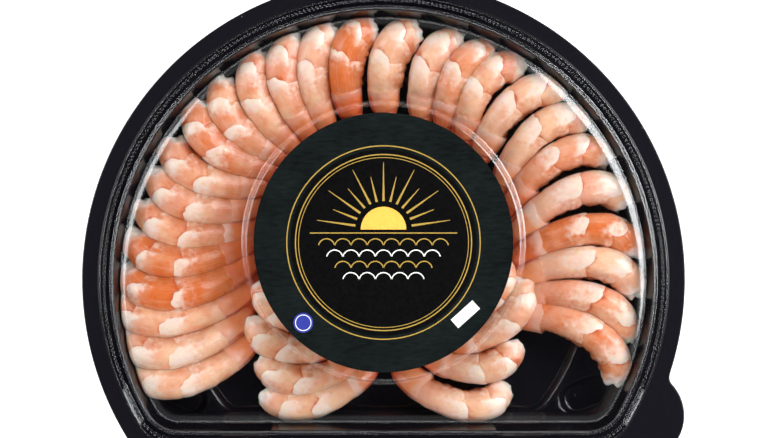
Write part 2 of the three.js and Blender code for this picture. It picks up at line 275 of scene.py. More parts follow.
def makeClearPet():
    # clear PET sheet: a thin wall that bends nothing, so it is see-through with a mirror's share that
    # grows towards grazing angles by Schlick's rule for IOR 1.57
    material, add, place = newMaterial("clearFormedPet")
    wave = add("TexNoise", grained(petClear["waveMm"], 0.0), {"Vector": place})
    bump = add("Bump", {"Strength": 0.3, "Distance": 0.3 * mm}, {"Height": wave})
    facing = add("LayerWeight", {"Blend": 0.5}, {"Normal": bump})
    steep = add("Math", {"operation": "POWER", 1: 5.0}, {0: facing.outputs["Facing"]})
    share = add("MapRange", {1: 0.0, 2: 1.0, 3: petClear["headOn"], 4: 1.0}, {0: steep})
    clear = add("BsdfTransparent", {"Color": hexColour(petClear["clear"])})
    gleam = add("BsdfGlossy", {"Color": hexColour(petClear["gleam"]), "Roughness": petClear["roughness"]},
                {"Normal": bump})
    shader = add("MixShader", None, {0: share, 1: clear, 2: gleam})
    add("OutputMaterial", None, {"Surface": shader})
    return material


flesh = {
    "cream": "#F6DCCA", "peach": "#F3C39F", "orange": "#DF7330", "deep": "#C9501F", "pink": "#EBA98C",
    # belly is painted shade: the darker orange the flesh takes on towards the belly, where the next shrimp
    # lies over it
    "belly": "#B8622F",
    "shellPale": "#F09C6A", "shell": "#E3703B", "fan": "#C24C26", "red": "#B5301E",
    "ring": "#F5D8C8", "cutEnd": "#F9ECE2",
    "roughness": 0.34, "ior": 1.4, "toneMm": 26, "blotchMm": 7.5, "speckMm": 2.2, "pitMm": 0.55,
    # each segment's head-side edge bows out in lobes: their middle and half width in degrees from the
    # middle of the back, and their reach in segments
    "lobes": [(26, 48, 0.38), (98, 34, 0.17), (152, 26, 0.07)],
    # how cream the flesh is from the middle of the back round to the belly
    "creamAt": [(0, 0.5), (16, 0.9), (36, 1.0), (58, 0.9), (78, 0.3), (100, 0.42), (125, 0.2), (180, 0.1)],
}


def lobeReach(angle):
    return max([reach * sqrt(max(0, 1 - ((angle - middle) / half) ** 2))
                for middle, half, reach in flesh["lobes"]])


def creamAround(angle):
    places = flesh["creamAt"]
    for (start, low), (end, high) in zip(places, places[1:]):
        if angle <= end:
            return lerp(low, high, smoothStep(start, end, angle))
    return places[-1][1]


def shapeCurve(node, valueAt):
    # sets a curve node to a function of the angle round the body, with 0 to 1 for 0 to 180 degrees
    points = node.mapping.curves[0].points
    points[0].location = (0, valueAt(0))
    points[1].location = (1, valueAt(180))
    for angle in range(6, 180, 6):
        points.new(angle / 180, valueAt(angle))
    node.mapping.update()


def makeFlesh():
    # cooked shrimp: moist, slightly translucent muscle; each segment is cream at its lobed head-side edge
    # and warms to orange towards the tail, and the last one keeps its orange shell with a pale rim
    material, add, place = newMaterial("cookedShrimpFlesh")
    colours = {name: hexColour(code) for name, code in flesh.items() if str(code).startswith("#")}
    mapped = add("Attribute", {"attribute_name": "fleshMap"}).outputs["Vector"]
    along, back, flank = add("SeparateXYZ", None, {0: mapped}).outputs
    tinted = add("Attribute", {"attribute_name": "fleshTint"}).outputs["Vector"]
    warm, rim, cutEnd = add("SeparateXYZ", None, {0: tinted}).outputs
    tone, blotch, speck, pit = [
        add("TexNoise", grained(flesh[size], detail), {"Vector": place})
        for size, detail in (("toneMm", 1.0), ("blotchMm", 3.0), ("speckMm", 3.0), ("pitMm", 2.0))]

    # place along the body in segments, bent by the lobes; share is 0 past a border and 1 before the next
    flanks = add("Math", {"operation": "ABSOLUTE"}, {0: flank})
    angle = add("Math", {"operation": "ARCTAN2"}, {0: flanks, 1: back})
    turn = add("Math", {"operation": "DIVIDE", 1: pi}, {0: angle})
    sway = add("MapRange", {**noiseSpan, 3: -0.04, 4: 0.04}, {0: blotch})
    swayed = add("Math", {"operation": "ADD"}, {0: turn, 1: sway})
    lobes = add("FloatCurve", None, {"Value": swayed})
    shapeCurve(lobes, lobeReach)
    past = add("MapRange", {**smoothRange, 1: 0.0, 2: 1.0}, {0: along})
    bow = add("Math", multiply, {0: lobes, 1: past})
    bent = add("Math", {"operation": "SUBTRACT"}, {0: along, 1: bow})
    fray = add("MapRange", {**noiseSpan, 3: -0.02, 4: 0.02}, {0: speck})
    frayed = add("Math", {"operation": "ADD"}, {0: bent, 1: fray})
    share = add("Math", {"operation": "FRACT"}, {0: frayed})

    # cream before a border, fading back into peach, pink or orange
    late = add("Math", {**multiplyAdd, 1: -0.36}, {0: warm, 2: share})
    mottled = add("Math", {**multiplyAdd, 1: 0.8}, {0: blotch, 2: late})
    grainy = add("Math", {**multiplyAdd, 1: 0.35}, {0: speck, 2: mottled})
    fade = add("MapRange", {**smoothRange, 1: 0.72, 2: 1.24}, {0: grainy})
    around = add("FloatCurve", None, {"Value": swayed})
    shapeCurve(around, creamAround)
    patchy = add("Math", {**multiplyAdd, 1: 0.9}, {0: speck, 2: around})
    side = add("MapRange", {**smoothRange, 1: 0.6, 2: 1.3}, {0: patchy})
    creamShare = add("Math", multiply, {0: fade, 1: side})
    pinkish = add("MapRange", {1: 0.42, 2: 0.66}, {0: tone})
    ground = add("Mix", {**rgba, 6: colours["peach"], 7: colours["pink"]}, {0: pinkish})
    warmer = add("Math", {**multiplyAdd, 1: 1.3}, {0: blotch, 2: warm})
    hue = add("MapRange", {**smoothRange, 1: 0.75, 2: 1.75}, {0: warmer})
    warmed = add("Mix", {**rgba, 7: colours["orange"]}, {0: hue, 6: ground})
    # painted shade: the flesh darkens to a deep orange towards the belly side, where the next shrimp lies
    # over it and shades it
    under = add("MapRange", {**smoothRange, 1: 0.34, 2: 0.7, 3: 0.0, 4: 0.9}, {0: swayed})
    bellyShaded = add("Mix", {**rgba, 7: colours["belly"]}, {0: under, 6: warmed})
    creamed = add("Mix", {**rgba, 7: colours["cream"]}, {0: creamShare, 6: bellyShaded})

    # past each border lies a broken line of deep orange that widens in blotches
    wide = add("Math", {**multiplyAdd, 1: -0.55}, {0: blotch, 2: share})
    line = add("MapRange", {**smoothRange, 1: -0.36, 2: -0.19, 3: 0.8, 4: 0.0}, {0: wide})
    drawn = add("Math", multiply, {0: line, 1: past})
    lined = add("Mix", {**rgba, 7: colours["deep"]}, {0: drawn, 6: creamed})

    # muscle fibres run along the body
    stretched = add("Mapping", {"Scale": (1.4, 12.0, 12.0)}, {"Vector": mapped})
    fibre = add("TexNoise", {"Scale": 1.0, "Detail": 3.0, "Roughness": 0.6}, {"Vector": stretched})
    pale = add("MapRange", {1: 0.52, 2: 0.8, 3: 0.0, 4: 0.3}, {0: fibre})
    fibred = add("Mix", {**rgba, 7: colours["cream"]}, {0: pale, 6: lined})

    # the tail's shell: salmon or orange, red along the back and towards the fan, with a pale rim
    shellWarm = add("Math", {**multiplyAdd, 1: 0.6}, {0: blotch, 2: warm})
    shellHue = add("MapRange", {1: 0.45, 2: 1.15}, {0: shellWarm})
    shell = add("Mix", {**rgba, 6: colours["shellPale"], 7: colours["shell"]}, {0: shellHue})
    tailward = add("MapRange", {**smoothRange, 1: -0.35, 2: -1.4}, {0: along})
    fanned = add("Mix", {**rgba, 7: colours["fan"]}, {0: tailward, 6: shell})
    ridge = add("MapRange", {**smoothRange, 1: 0.0, 2: 0.1, 3: 0.85, 4: 0.0}, {0: turn})
    edged = add("Mix", {**rgba, 7: colours["red"]}, {0: ridge, 6: fanned})
    rimPlace = add("Math", {"operation": "ADD"}, {0: along, 1: fray})
    rimFade = add("MapRange", {**smoothRange, 1: -0.36, 2: -0.08}, {0: rimPlace})
    rimShare = add("Math", multiply, {0: rimFade, 1: rim})
    rimmed = add("Mix", {**rgba, 7: colours["ring"]}, {0: rimShare, 6: edged})
    bare = add("MapRange", {1: -0.012, 2: 0.012}, {0: along})
    whole = add("Mix", rgba, {0: bare, 6: rimmed, 7: fibred})
    ended = add("Mix", {**rgba, 7: colours["cutEnd"]}, {0: cutEnd, 6: whole})

    # moist skin: soft pits and fibres in relief, and a step down at each border
    rough = add("MapRange", {**noiseSpan, 3: flesh["roughness"] - 0.1, 4: flesh["roughness"] + 0.12},
                {0: speck})
    edge = add("MapRange", {**smoothRange, 1: 0.0, 2: 0.06, 3: -0.6, 4: 0.0}, {0: share})
    step = add("Math", multiply, {0: edge, 1: past})
    ribbed = add("Math", {**multiplyAdd, 1: 0.5}, {0: fibre, 2: step})
    pitted = add("Math", {**multiplyAdd, 1: 0.32}, {0: pit, 2: ribbed})
    height = add("Math", {**multiplyAdd, 1: 1.3}, {0: speck, 2: pitted})
    bump = add("Bump", {"Strength": 0.6, "Distance": 0.4 * mm}, {"Height": height})
    strands = add("Math", {**multiplyAdd, 1: 0.9}, {0: speck, 2: fibre})
    wet = add("Bump", {"Strength": 0.5, "Distance": 0.4 * mm}, {"Height": strands})
    shader = add("BsdfPrincipled",
                 {"IOR": flesh["ior"], "Subsurface Weight": 0.65, "Subsurface Radius": (1.0, 0.4, 0.2),
                  "Subsurface Scale": 2.6 * mm, "Coat Weight": 1.0, "Coat Roughness": 0.1, "Coat IOR": 1.5},
                 {"Base Color": ended, "Roughness": rough, "Normal": bump, "Coat Normal": wet})
    add("OutputMaterial", None, {"Surface": shader})
    return material


def makePlain(name, colour, roughness, ior, bumpMm, grainMm, coat=0.0, gloss=0.5):
    # a moulded or wet surface with a fine grain in its gloss and a slight unevenness
    material, add, place = newMaterial(name)
    grain = add("TexNoise", grained(grainMm, 3.0), {"Vector": place})
    shade = add("MapRange", {**noiseSpan, 3: 0.86, 4: 1.0}, {0: grain})
    tone = add("Mix", {**rgba, 6: (0.0, 0.0, 0.0, 1.0), 7: hexColour(colour)}, {0: shade})
    rough = add("MapRange", {**noiseSpan, 3: roughness * 0.85, 4: roughness * 1.2}, {0: grain})
    bump = add("Bump", {"Strength": 0.3, "Distance": bumpMm * mm}, {"Height": grain})
    shader = add("BsdfPrincipled",
                 {"IOR": ior, "Coat Weight": coat, "Coat Roughness": 0.08, "Specular IOR Level": gloss},
                 {"Base Color": tone, "Roughness": rough, "Normal": bump})
    add("OutputMaterial", None, {"Surface": shader})
    return material


slate = {"dark": "#050808", "light": "#131A1A", "roughness": 0.7, "strokeMm": 1.3, "cloudMm": 22, "turn": 62}


def makeSlatePrint():
    # printed paper with the look of brushed slate: fine slanting strokes under a satin varnish
    material, add, place = newMaterial("slatePrintedPaper")
    turned = add("Mapping", {"Rotation": (0, 0, radians(-slate["turn"])), "Scale": (0.22, 1.0, 1.0)},
                 {"Vector": place})
    stroke = add("TexNoise", {**grained(slate["strokeMm"], 4.0), "Roughness": 0.65}, {"Vector": turned})
    cloud = add("TexNoise", grained(slate["cloudMm"], 2.0), {"Vector": place})
    mixed = add("Math", {**multiplyAdd, 1: 0.5}, {0: cloud, 2: stroke})
    share = add("MapRange", {1: 0.55, 2: 1.0}, {0: mixed})
    colour = add("Mix", {**rgba, 6: hexColour(slate["dark"]), 7: hexColour(slate["light"])}, {0: share})
    bump = add("Bump", {"Strength": 0.2, "Distance": 0.1 * mm}, {"Height": stroke})
    shader = add("BsdfPrincipled",
                 {"Roughness": slate["roughness"], "IOR": 1.35, "Specular IOR Level": 0.12},
                 {"Base Color": colour, "Normal": bump})
    add("OutputMaterial", None, {"Surface": shader})
    return material


blackPet = makeBlackPet()
clearPet = makeClearPet()
fleshMaterial = makeFlesh()
slatePrint = makeSlatePrint()
whiteCup = makePlain("whitePolypropylene", "#F1F0EB", 0.32, 1.49, 0.05, 6)
redSauce = makePlain("cocktailSauce", "#A3200F", 0.28, 1.42, 0.6, 3, coat=0.5)
blackPrint = makePlain("blackPrintedPaper", "#020203", 0.5, 1.35, 0.03, 1.5, gloss=0.2)
goldPrint = makePlain("goldPrintedLine", "#A98B3E", 0.42, 1.45, 0.03, 1.5)
yellowPrint = makePlain("yellowPrintedPaper", "#EBB34A", 0.5, 1.45, 0.03, 2)
whitePrint = makePlain("whitePrintedPaper", "#EDEBE6", 0.5, 1.45, 0.03, 2)
bluePrint = makePlain("bluePrintedPaper", "#25308C", 0.5, 1.45, 0.03, 2)
print("materials made")

# ---- tray

tray = {
    "wall": 0.8, "rimZ": 30, "mouthReach": 125, "footReach": 121, "footZ": 7,
    "ledgeReach": 117.7, "ledgeZ": 4, "rampTop": 96, "rampFoot": 86, "middleIn": 20,
    "bendIn": 3, "bendFlatIn": 1.2, "bendZ": 1.6,  # the ramp's bend, in from its top
    "bayDepth": 2.5, "innerCorner": 14, "floorCorner": 9, "topFlat": 61.5, "footFlat": 59,
    "pocketX": 95, "pocketY": -54.5, "pocketTurn": 0.35, "pocketLength": 10, "pocketRadius": 6.6,
    "pocketEase": (-1.1, 1.3), "pocketFloor": 0.1,  # its side, about its radius, and its floor's height
    "tabX": 118, "tabRadius": 21.5, "notchEase": 4,
    "stepReach": 132.1, "stepWidth": 0.35, "stepDrop": 0.28,  # a fine step in the flange outside the lid
    "edgeIn": 0.6, "edgeDrop": 0.1,  # the flange's rolled edge
    "ledgeLoops": 16,  # loops across the ledge, which shape the pockets
    # the length that each fold's fillet takes off on both sides
    "fillets": {"rampFoot": 2.5, "bend": 0.25, "rampTop": 1.85, "ledge": 1.5, "wallFoot": 2, "mouth": 1.1,
                "step": 0.15, "stepFoot": 0.1, "rim": 0.25},
}


def pocketDepth(x, y):
    side = 1 if x > 0 else -1
    across = Vector((x - side * tray["pocketX"], y - dShape["centreY"] - tray["pocketY"]))
    across.rotate(Matrix.Rotation(-side * tray["pocketTurn"], 2))
    across.x = max(abs(across.x) - tray["pocketLength"] / 2, 0)
    depth = tray["ledgeZ"] - tray["wall"] - tray["pocketFloor"]
    return depth * (1 - smoothStep(*tray["pocketEase"], across.length - tray["pocketRadius"]))


def tabShift(rimPoint):
    # the opening tab rounds out the right-hand corner of the flange, by this much at a point of the rim
    corner = dShape["rimCorner"]
    cornerY = corner - dShape["rimFlat"]
    cornerX = sqrt((dShape["rimReach"] - corner) ** 2 - cornerY ** 2)
    ray = rimPoint.xy - Vector((cornerX, cornerY + dShape["centreY"]))
    if rimPoint.x < cornerX:
        return Vector((0, 0, 0))
    toTab = Vector((tray["tabX"] - cornerX, tray["tabRadius"] - corner))
    aim = ray.normalized()
    reach = aim.dot(toTab) + sqrt(tray["tabRadius"] ** 2 - toTab.length_squared + aim.dot(toTab) ** 2)
    if aim.y < 0 and corner / -aim.y * aim.x <= toTab.x:
        reach = max(reach, corner / -aim.y)
    out, ease = reach - ray.length, tray["notchEase"]
    if aim.y > 0 and out < ease:
        out = max(out + ease, 0) ** 2 / (4 * ease)
    return (aim * max(out, 0)).to_3d()


def makeTray():
    inner = {"corner": tray["innerCorner"]}
    bays = {"corner": tray["innerCorner"], "bay": tray["bayDepth"]}
    floor = {"corner": tray["floorCorner"]}
    middleIn, cuts, outerZ = tray["middleIn"], tray["fillets"], tray["rimZ"] - tray["stepDrop"]
    middle = dLoop(tray["rampFoot"] - middleIn, tray["wall"], flat=tray["footFlat"] - middleIn, **floor)
    rampFoot = dLoop(tray["rampFoot"], tray["wall"], flat=tray["footFlat"], **floor)
    bend = dLoop(tray["rampTop"] - tray["bendIn"], tray["bendZ"], flat=tray["topFlat"] - tray["bendFlatIn"],
                 **floor)
    rampTop = dLoop(tray["rampTop"], tray["ledgeZ"], flat=tray["topFlat"], **floor)
    ledge = dLoop(tray["ledgeReach"], tray["ledgeZ"], **inner)
    edge = dLoop(dShape["rimReach"], outerZ - tray["edgeDrop"])
    loops = filleted([
        (middle, 0),
        (rampFoot, cuts["rampFoot"]),
        (bend, cuts["bend"]),
        (rampTop, cuts["rampTop"]),
        *[(loop, 0) for loop in loopsBetween(rampTop, ledge, tray["ledgeLoops"])[2:]],
        (ledge, cuts["ledge"]),
        (dLoop(tray["footReach"], tray["footZ"], **bays), cuts["wallFoot"]),
        (dLoop(tray["mouthReach"], tray["rimZ"], **bays), cuts["mouth"]),
        (dLoop(tray["stepReach"], tray["rimZ"]), cuts["step"]),
        (dLoop(tray["stepReach"] + tray["stepWidth"], outerZ), cuts["stepFoot"]),
        (dLoop(dShape["rimReach"] - tray["edgeIn"], outerZ), cuts["rim"]),
        (edge, 0),
    ])
    for loop in loops:
        for point in loop:
            if abs(point.z - tray["ledgeZ"]) < 0.05:
                point.z -= pocketDepth(point.x, point.y)
    shifts = [tabShift(point) for point in edge]
    for loop in loops[-7:]:  # the rim's fillet and its edge
        for k, shift in enumerate(shifts):
            if shift.length > 0.001:
                inset = (loop[k] - edge[k]).xy.length
                moved = edge[k] + shift - shift.normalized() * inset
                loop[k] = Vector((moved.x, moved.y, loop[k].z))
    makeSheet(loops, "tray_sheet", blackPet, "tray", tray["wall"])


makeTray()
print("tray made")

# ---- lid

lid = {
    "sheet": 0.45, "seat": 30.3, "topZ": 38, "shoulderCorner": 13,
    "plateauMiddle": 40, "plateauFoot": 65.1, "plateauTop": 63.9, "plateauZ": 42.5,
    "roundStart": 115.4, "roundRadius": 10, "roundTurn": 34, "roundSteps": 9,  # the shoulder
    "beadIn": 0.6, "beadZ": 34.5, "beadReach": 125.4, "beadFall": 0.05,
    "bevelReach": 126.1, "bevelDrop": 0.66, "beadFoot": 127, "footZ": 31.1,
    "seatReach": 131.6, "lipReach": 131.9, "lipZ": 0.05,  # the lip ends this high above its seat
    "ribInner": 128.8, "ribOuter": 130.3, "ribHeight": 0.5, "ribValley": 0.06, "ribSlope": 0.5,
    "ribSink": 0.05, "ribFineness": 3, "ribPoints": 4,
    "fillets": {"plateauTop": 1.7, "plateauFoot": 1.4, "bead": 0.1, "bevel": 0.3, "foot": 0.35, "seat": 0.25},
}


def makeLid():
    corner = {"corner": lid["shoulderCorner"]}
    low, bead, cuts = lid["footZ"], lid["beadZ"], lid["fillets"]
    start, radius, steps = lid["roundStart"], lid["roundRadius"], lid["roundSteps"]
    turns = [radians(lid["roundTurn"] * i / steps) for i in range(steps + 1)]
    shoulder = [dLoop(start + radius * sin(a), lid["topZ"] - radius * (1 - cos(a)), **corner)
                for a in turns]
    loops = filleted([
        (roundLoop(lid["plateauMiddle"], lid["plateauZ"]), 0),
        (roundLoop(lid["plateauTop"], lid["plateauZ"]), cuts["plateauTop"]),
        (roundLoop(lid["plateauFoot"], lid["topZ"]), cuts["plateauFoot"]),
        *[(loop, 0) for loop in shoulder],
        (dLoop(start + radius * sin(turns[-1]) + lid["beadIn"], bead, **corner), cuts["bead"]),
        (dLoop(lid["beadReach"], bead - lid["beadFall"]), cuts["bevel"]),
        (dLoop(lid["bevelReach"], bead - lid["bevelDrop"]), cuts["bevel"]),
        (dLoop(lid["beadFoot"], low), cuts["foot"]),
        (dLoop(lid["seatReach"], low), cuts["seat"]),
        (dLoop(lid["lipReach"], lid["seat"] + lid["lipZ"]), 0),
    ], steps=6)
    makeSheet(loops, "lid_sheet", clearPet, "lid", lid["sheet"])


def makeLidRibs():
    # fine grip ribs pressed across the lid's edge
    inner, outer, slope = lid["ribInner"], lid["ribOuter"], lid["ribSlope"]
    loops = [dLoop(reach, lid["footZ"] - lid["ribSink"], fineness=lid["ribFineness"])
             for reach in (inner, inner + slope, outer - slope, outer)]
    for loop in loops[1:3]:
        for i, point in enumerate(loop):
            onRib = i % lid["ribPoints"] < lid["ribPoints"] / 2
            point.z += lid["ribHeight"] if onRib else lid["ribValley"]
    bm = bmesh.new()
    extrudeLoops(bm, loops)
    bmesh.ops.bridge_loops(bm, edges=[edge for edge in bm.edges if edge.is_boundary])
    bmesh.ops.recalc_face_normals(bm, faces=bm.faces)
    finishPiece(bm, "lid_ribs", [clearPet], smooth=False)


makeLid()
makeLidRibs()
print("lid made")

# ---- shrimp

# Bearing and reach of the tail joint, of the head end, and the curl, about the ring's centre.
ringRows = [
    (216, 76, 206, 127, 1.05), (207, 71, 199, 126, 1.05), (198, 65, 191, 125, 1),
    (187, 62, 186, 119, 1), (179, 62, 178, 116, 0.9), (173, 62, 170, 112, 0.85),
    (164, 62, 162, 109, 0.9), (154, 62, 154, 108, 0.9), (147, 62, 143, 106, 0.9),
    (140, 62, 134, 104, 0.85), (133, 61, 123, 102, 0.9), (124, 61, 113, 101, 0.9),
    (116, 61, 103, 100, 0.9), (104, 62, 93, 99, 0.9), (89, 62, 81, 98, 0.9),
    (73, 62, 69, 99, 0.85), (62, 62, 60, 100, 0.9), (52, 62, 52, 102, 0.9),
    (42, 62, 39, 106, 1), (26, 62, 30, 108, 0.9), (16, 62, 20, 110, 0.9),
    (3, 62, 9, 113, 0.95), (-8, 63, -3, 115, 1.05), (-17, 65, -12, 117, 1.1),
    (-24, 68, -22, 119, 1.1), (-30, 67, -31, 125, 0.9),
]
leftRows = [
    (263, 59, 232, 87, 0.8), (256, 58, 225, 76, 0.9), (243, 54, 212, 68, 0.9), (228, 52, 200, 57, 0.7),
]
rightRows = [
    (-82, 60, -51, 86, 1.1), (-68, 57, -39, 75, 1.05), (-56, 57, -17, 64, 1), (-41, 52, -12, 53, 0.7),
]

# how warm each shrimp is, from pale cream to strong orange
warmth = [
    0.4, 0.3, 0.5, 1.0, 0.85, 0.6, 0.5, 0.55, 0.75, 0.65, 0.5, 0.5, 0.3, 0.95, 0.35, 0.15, 0.6,
    0.45, 0.2, 0.35, 0.65, 0.15, 0.85, 0.2, 0.5, 0.6, 0.35, 0.45, 0.5, 0.5, 0.3, 0.35, 0.45, 0.5,
]

shrimp = {
    "depth": 18, "width": 15,  # back to belly and side to side, at the thickest
    "sides": 40, "rings": 104,
    "seed": 500, "sizes": (0.96, 0.08), "tiltSpan": 6,  # smallest size and how much more there can be
    "ringJoint": 0.235,  # where the tail's shell ends and the bare flesh starts
    "jointPlay": (-0.03, 0.02), "segmentPlay": (0.93, 1.07), "paleRim": (0.1, 0.75),
    "segment": 0.25,  # one segment's share of the body
    "tailLength": 48,  # scale of the part past the tail joint
    "pull": 0.38, "leaveTurn": 36, "arriveTurn": 78, "aimStep": 0.03,  # how the body curls
    "swell": 0.02, "lip": 0.03, "groove": 0.014,  # relief of the segments, in shares of the radius
    "lipRise": (0.3, 0.85), "lipFall": (0.93, 1.0), "grooveWidth": 0.07,  # in shares of a segment
    "bellyIn": 0.9, "bellyOpen": 1.3, "openFrom": 17, "bellyShut": -1.2, "shutFrom": 13,
    "bellyTurn": (96, 140), "bellyJag": 2.2, "notchMm": 4.3, "shellLip": 0.25,
    "borderBends": [(8, 0.11), (2.8, 0.05)],  # size in mm of each bend, and its strength in segments
    "lumpMm": 6, "lump": 0.4, "fineMm": 2.1, "fineLump": 0.1, "fineNotch": 0.15,
    "raggedFrom": 0.86, "ragged": 0.9, "frayMm": 3.1, "fray": 3.4, "fraySink": 0.8,  # the head end
    "whiteFrom": (0.87, 0.99), "white": 0.9, "whiteMm": 3,
    "cupClear": 44.4, "floorGap": 0.6,
    "wallFoot": 118.5, "wallSquare": 140,  # the wall's reach at the ledge, and what places its flat side
    "blades": 5, "bladeLength": 13, "bladeWidth": 4.6, "bladeThickness": 0.9, "bladeSpread": 17,
    "bladeRoot": -0.1, "middleBlade": 0.86, "bladeLift": 0.35, "bladeWiden": 0.35,
}

# place along the body (below 0 is past the tail joint), share of the depth, share of the width
envelope = [
    (-0.24, 0.16, 0.34), (-0.12, 0.36, 0.5), (0, 0.64, 0.66), (0.12, 0.79, 0.81), (0.26, 0.86, 0.86),
    (0.45, 0.94, 0.94), (0.66, 1.0, 1.0), (0.82, 0.99, 0.98), (0.93, 0.93, 0.92), (1, 0.72, 0.72),
]


def makeRandom(seed):
    state = seed
    while True:
        state = (state * 1664525 + 1013904223) % 4294967296
        yield state / 4294967296


def envelopeAt(t):
    last = len(envelope) - 1
    i = next((i for i in range(last) if t <= envelope[i + 1][0]), last - 1)
    before, start, end, after = (envelope[min(max(k, 0), last)] for k in (i - 1, i, i + 1, i + 2))
    span = end[0] - start[0]
    u = min(max((t - start[0]) / span, 0), 1)
    sizes = []
    for k in (1, 2):
        leave = (end[k] - before[k]) / max(end[0] - before[0], 1e-6) * span
        arrive = (after[k] - start[k]) / max(after[0] - start[0], 1e-6) * span
        sizes.append((2 * u ** 3 - 3 * u ** 2 + 1) * start[k] + (u ** 3 - 2 * u ** 2 + u) * leave
                     + (3 * u ** 2 - 2 * u ** 3) * end[k] + (u ** 3 - u ** 2) * arrive)
    return sizes


def trayFloor(x, y):
    reach = hypot(x, y - dShape["centreY"])
    rise = min(max((reach - tray["rampFoot"]) / (tray["rampTop"] - tray["rampFoot"]), 0), 1)
    return tray["wall"] + rise * (tray["ledgeZ"] - tray["wall"])


def trayWall(z):
    if z < tray["footZ"]:
        share = (z - tray["ledgeZ"]) / (tray["footZ"] - tray["ledgeZ"])
        return lerp(shrimp["wallFoot"], tray["footReach"], share)
    share = (z - tray["footZ"]) / (tray["rimZ"] - tray["footZ"])
    return lerp(tray["footReach"], tray["mouthReach"], share)


def press(p):
    # flesh gives way to the floor, the tray's wall and the sauce cup
    p.z = max(p.z, trayFloor(p.x, p.y) + shrimp["floorGap"])
    wallReach = trayWall(p.z) - shrimp["floorGap"]
    fromCentre = Vector((p.x, p.y - dShape["centreY"]))
    if fromCentre.length > wallReach:
        fromCentre = fromCentre.normalized() * wallReach
    fromCentre.y = max(fromCentre.y, shrimp["wallSquare"] - dShape["rimFlat"] - wallReach)
    fromCup = Vector((fromCentre.x, fromCentre.y + dShape["centreY"] - dShape["ringY"]))
    if fromCup.length < shrimp["cupClear"]:
        fromCup = fromCup.normalized() * shrimp["cupClear"]
    return Vector((fromCup.x, fromCup.y + dShape["ringY"], p.z))


def polar(bearing, reach):
    a = radians(bearing)
    return Vector((reach * cos(a), dShape["ringY"] + reach * sin(a), 0))


class Spine:
    # the curled line through a shrimp's body, from its tail joint (0) to its head end (1)
    def __init__(self, row, side, lay):
        self.tail, self.head = polar(row[0], row[1]), polar(row[2], row[3])
        chord = self.head - self.tail
        heading = atan2(chord.y, chord.x)
        pull = shrimp["pull"] * chord.length
        leave = heading + side * radians(shrimp["leaveTurn"]) * row[4]
        arrive = heading - side * radians(shrimp["arriveTurn"]) * row[4]
        self.leaveAim = Vector((cos(leave), sin(leave), 0))
        self.first = self.tail + pull * self.leaveAim
        self.second = self.head - pull * Vector((cos(arrive), sin(arrive), 0))
        chord.normalize()
        self.across = Vector((-chord.y * side, chord.x * side, 0))
        self.side, self.lay = side, lay

    def at(self, t):
        if t < 0:
            p = self.tail + self.leaveAim * (t * shrimp["tailLength"])
        else:
            u = 1 - t
            p = (self.tail * u ** 3 + self.first * (3 * u * u * t)
                 + self.second * (3 * u * t * t) + self.head * t ** 3)
        bulge = max((p - self.tail).dot(self.across), 0)
        p.z = lerp(self.lay["tailHeight"], self.lay["headHeight"], max(t, 0))
        p.z += bulge * tan(self.lay["tilt"])
        return p

    def axes(self, t):
        ahead = min(t + shrimp["aimStep"], 1)
        heading = (self.at(ahead) - self.at(ahead - 2 * shrimp["aimStep"])).normalized()
        back = Vector((-heading.y * self.side, heading.x * self.side, 0)).normalized()
        back *= cos(self.lay["tilt"])
        back.z = sin(self.lay["tilt"])
        back = (back - heading * back.dot(heading)).normalized()
        return heading, back, heading.cross(back).normalized()


def segmentRelief(along, angle):
    # a segment swells a little, and its head-side edge stands proud of the next one
    if along < 0:
        return 0
    share = (along - lobeReach(angle) * smoothStep(0, 1, along)) % 1
    swell = shrimp["swell"] * sin(pi * share)
    lip = shrimp["lip"] * smoothStep(*shrimp["lipRise"], share) * (1 - smoothStep(*shrimp["lipFall"], share))
    groove = shrimp["groove"] * exp(-(share / shrimp["grooveWidth"]) ** 2)
    return (swell + lip - groove) * smoothStep(0, 0.3, along)


def addBlades(bm, spine, look, mapLayer, tintLayer):
    heading, back, flank = spine.axes(0.0)
    root = spine.at(shrimp["bladeRoot"])
    out = -heading
    for i in range(shrimp["blades"]):
        fromMiddle = i - (shrimp["blades"] - 1) / 2
        turn = radians(fromMiddle * shrimp["bladeSpread"])
        aim = (out * cos(turn) + flank * sin(turn)).normalized()
        wide = back.cross(aim).normalized()
        length = shrimp["bladeLength"] * (1.0 if fromMiddle else shrimp["middleBlade"]) * look["size"]
        middle = root + aim * length * 0.5 + back * (shrimp["bladeLift"] * abs(fromMiddle))
        longWay, wideWay = aim * length * 0.52, wide * shrimp["bladeWidth"] / 2
        thickWay = back * shrimp["bladeThickness"] / 2
        made = bmesh.ops.create_icosphere(bm, subdivisions=3, radius=1)
        for vert in made["verts"]:
            x, y, z = vert.co
            ridge = 0.5 * max(0, 1 - 6 * abs(y)) * (1 - x * x)
            broad = 1 + shrimp["bladeWiden"] * x
            point = middle + longWay * x + wideWay * y * broad + thickWay * (z + ridge)
            vert.co = press(point)
            vert[mapLayer] = Vector((-1.35 - 0.4 * x, 0.3, y))
            vert[tintLayer] = Vector((look["warm"], 0, 0))


